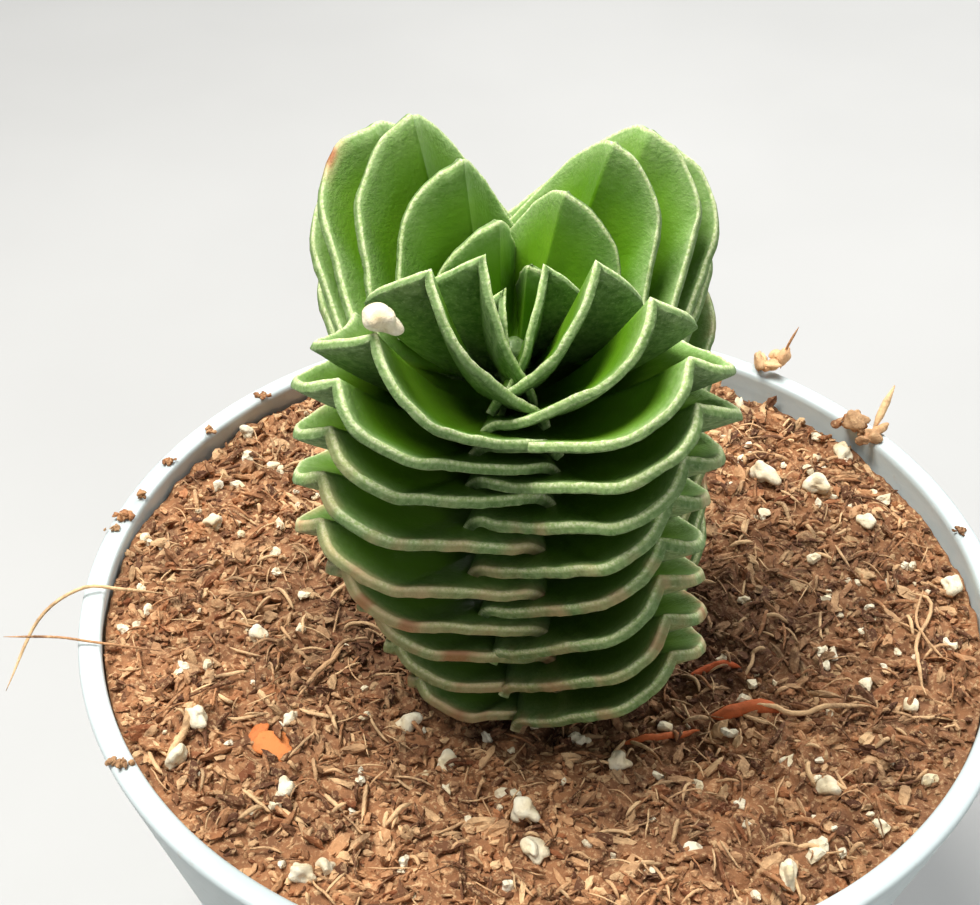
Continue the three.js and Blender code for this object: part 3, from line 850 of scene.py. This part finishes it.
def bark_material():
    s = Shader("bark")
    tone, _, _, _ = s.channels()
    fine = s.noise(900, 5, 0.65)
    base = s.mix(tone, srgb(168, 62, 30), srgb(226, 142, 78))
    base = s.mix(s.ramp(fine, 0.5, 0.75, 0.0, 0.6), base, srgb(120, 62, 36))
    s.surface(Base_Color=base, Roughness=0.75, Specular_IOR_Level=0.3)
    s.bump(fine, 0.6, 0.0004)
    return s.mat


def pot_material():
    s = Shader("pot_plastic")
    fine = s.noise(900, 3, 0.5)
    base = s.mix(s.ramp(s.noise(40, 4), 0.3, 0.7), srgb(184, 196, 196), srgb(202, 212, 211))
    base = s.mix(s.ramp(s.noise(420, 5, 0.7), 0.62, 0.74, 0.0, 0.35), base, srgb(168, 152, 128))
    s.surface(Base_Color=base, Roughness=s.ramp(fine, 0.2, 0.8, 0.36, 0.5), Subsurface_Weight=0.1,
              Subsurface_Radius=(0.002, 0.002, 0.002))
    s.bump(fine, 0.15, 0.0002)
    return s.mat


def floor_material():
    s = Shader("floor")
    base = s.mix(s.ramp(s.noise(6, 4), 0.3, 0.7), srgb(176, 176, 174), srgb(186, 186, 184))
    s.surface(Base_Color=base, Roughness=0.85)
    return s.mat


def dress(obj, material, node=None):
    obj.data.materials.append(material)
    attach(obj, "root")
    if node:
        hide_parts(node)


def dress_all():
    leaf_mat = leaf_material()
    coir = coir_material()
    grain_mat = grain_material()
    bark_mat = bark_material()

    dress(build_pot(), pot_material(), "pot")
    dress(build_leaves("leaves_crown", range(0, 8)), leaf_mat, "leafy_stem")
    dress(build_leaves("leaves_middle", range(8, 15)), leaf_mat, "leafy_stem")
    dress(build_leaves("leaves_lower", range(15, PAIRS)), leaf_mat, "leafy_stem")
    dress(build_stem(), leaf_mat, "leafy_stem")
    dress(build_soil(), coir, "soil")

    rng = np.random.default_rng(SCATTER_SEED)
    dust = strewn("soil_dust", rng, DUST_COUNT, DUST_REACH, (0.45, 1.3), 0, 0.6, (0.25, 0.8), 0.15)
    crumbs = strewn("soil_crumbs", rng, CRUMB_COUNT, SOIL_REACH, (0.9, 2.3), 1, 1.0, (0.22, 0.6), 0.18)
    chips = strewn("soil_chips", rng, CHIP_COUNT, GRAIN_REACH, (1.8, 3.4), 1, 1.0, (0.16, 0.45), 0.12,
                   tilt=0.3)
    small = strewn("small_grains", rng, SMALL_GRAIN_COUNT, GRAIN_REACH, (0.5, 1.6), 1, 0.8, (0.6, 0.95),
                   0.3, tone=1.0)
    x, y, size = np.array(GRAIN_PLACES, float).T
    large = lumps("white_grains", rng, (x, y), size * 1.1, np.ones(len(x)), 3, 0.6, (0.65, 0.95), 0.3)
    dress(dust, coir)
    dress(crumbs, coir)
    dress(chips, coir)
    dress(small, grain_mat)
    dress(large, grain_mat)
    dress(build_plant_grain(rng), grain_mat)
    dress(build_fibres(rng, FIBRE_COUNT), coir)
    dress(build_debris(), coir)
    dress(build_rim_litter(rng), coir)
    dress(build_bark(), bark_mat)


dress_all()


# Stage, light and camera.

def plane(name, size, z):
    mesh = bpy.data.meshes.new(name)
    corners = [(-size, -size, z), (size, -size, z), (size, size, z), (-size, size, z)]
    mesh.from_pydata(corners, [], [(0, 1, 2, 3)])
    obj = bpy.data.objects.new(name, mesh)
    bpy.context.scene.collection.objects.link(obj)
    return obj


floor = plane("floor", 3.0, 0.0)
floor.data.materials.append(floor_material())


def area_light(name, place, target, size, power, colour):
    data = bpy.data.lights.new(name, "AREA")
    data.shape = "DISK"
    data.size = size
    data.energy = power
    data.color = colour
    obj = bpy.data.objects.new(name, data)
    obj.location = place
    aim = Vector(target) - Vector(place)
    obj.rotation_euler = aim.to_track_quat("-Z", "Y").to_euler()
    bpy.context.scene.collection.objects.link(obj)


area_light("key", place=(-0.18, -0.02, 0.62), target=(0, -0.01, 0.09), size=0.30, power=5.6,
           colour=(1.0, 0.98, 0.95))
area_light("fill", place=(0.45, -0.55, 0.40), target=(0, 0, 0.09), size=0.5, power=1.2,
           colour=(0.96, 0.98, 1.0))
area_light("rear", place=(0.22, 0.42, 0.45), target=(0, 0, 0.1), size=0.3, power=2.6,
           colour=(1, 1, 1))
SKY_COLOUR = (0.75, 0.78, 0.82, 1)
SKY_STRENGTH = 0.28
world = bpy.data.worlds.new("world")
world.use_nodes = True
sky = world.node_tree.nodes["Background"]
sky.inputs["Color"].default_value = SKY_COLOUR
sky.inputs["Strength"].default_value = SKY_STRENGTH
bpy.context.scene.world = world

# camera: distance from the middle of the rim, height angle, then pan, tilt and roll in degrees
FOCAL_PX = 1600.0
PHOTO_WIDTH = 980.0
SENSOR = 36.0
NEAR_CLIP = 0.005
CAM_DISTANCE = 175.0
CAM_HEIGHT_ANGLE = 43.28
CAM_PAN = -2.08
CAM_TILT = 4.51
CAM_ROLL = 2.14


def place_camera():
    el, pan, tilt, roll = (math.radians(v) for v in (CAM_HEIGHT_ANGLE, CAM_PAN, CAM_TILT, CAM_ROLL))
    spot = np.array([0, -CAM_DISTANCE * math.cos(el), CAM_DISTANCE * math.sin(el) + POT_HEIGHT]) * 0.001
    ahead = np.array([0, math.cos(el), -math.sin(el)])
    right = np.array([1.0, 0, 0])
    up = np.cross(right, ahead)
    ahead = ahead * math.cos(pan) + right * math.sin(pan)
    right = np.cross(ahead, up)
    ahead = ahead * math.cos(tilt) + up * math.sin(tilt)
    up = np.cross(right, ahead)
    right = right * math.cos(roll) + up * math.sin(roll)
    up = np.cross(right, ahead)
    data = bpy.data.cameras.new("camera")
    data.sensor_fit = "HORIZONTAL"
    data.sensor_width = SENSOR
    data.lens = FOCAL_PX / PHOTO_WIDTH * SENSOR
    data.clip_start = NEAR_CLIP
    obj = bpy.data.objects.new("camera", data)
    obj.matrix_world = Matrix([*zip(right, up, -ahead, spot), (0, 0, 0, 1)])
    bpy.context.scene.collection.objects.link(obj)
    bpy.context.scene.camera = obj


place_camera()
bpy.context.scene.view_settings.view_transform = "Standard"
